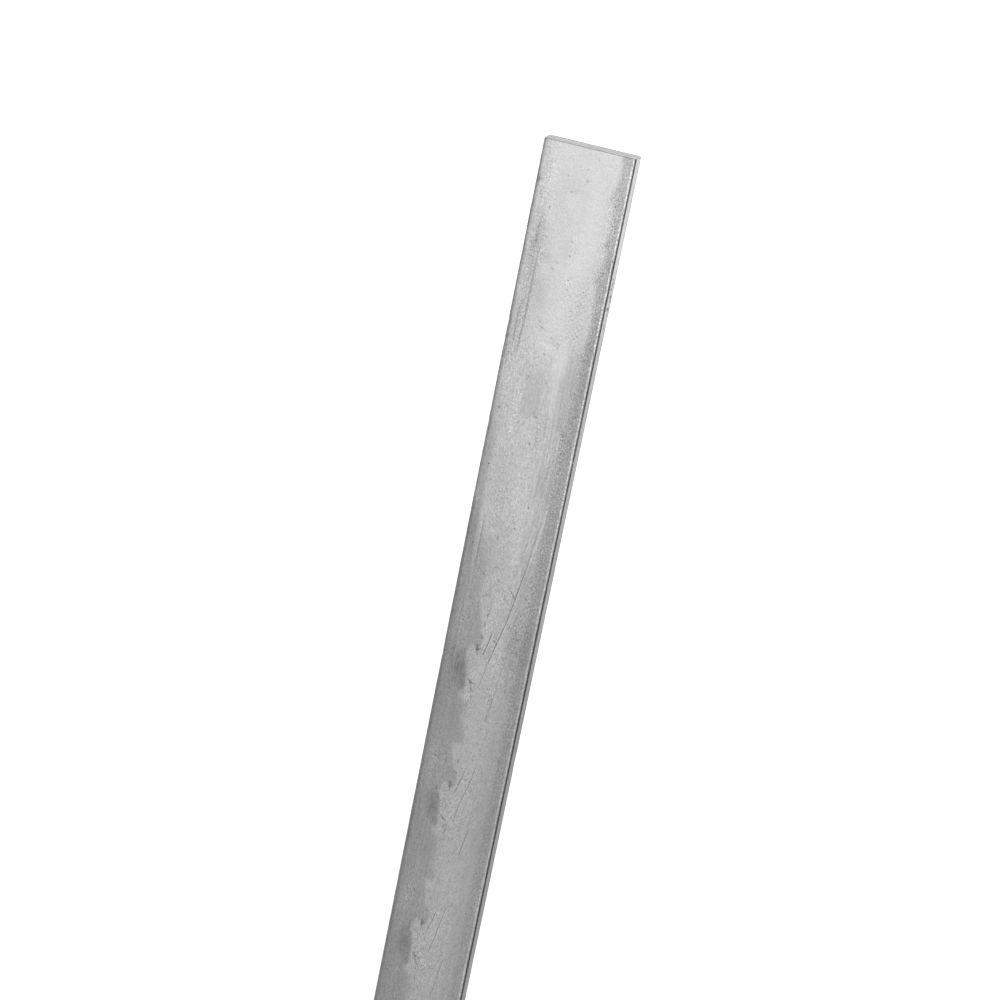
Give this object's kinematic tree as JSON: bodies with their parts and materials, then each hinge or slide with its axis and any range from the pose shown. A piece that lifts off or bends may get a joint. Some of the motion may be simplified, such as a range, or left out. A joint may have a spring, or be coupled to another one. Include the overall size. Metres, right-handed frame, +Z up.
{
  "type": "metal flat bar",
  "caption": "Straight rectangular steel flat bar with rounded long edges and square-cut ends, lying on its broad face.",
  "frame": {"origin": "centre of the underside, the broad face that the bar rests on", "axes": "+X along the bar towards its far cut end, +Y across its width, +Z up through its thickness"},
  "size_m": [0.9144, 0.0254, 0.0063],
  "materials": {
    "steel": "bare mill finish: dull neutral grey with frosty grain, lengthwise streaks, small pits, stains and scratches"
  },
  "bodies": {
    "root": {"flat_bar": "steel"}
  },
  "joints": []
}
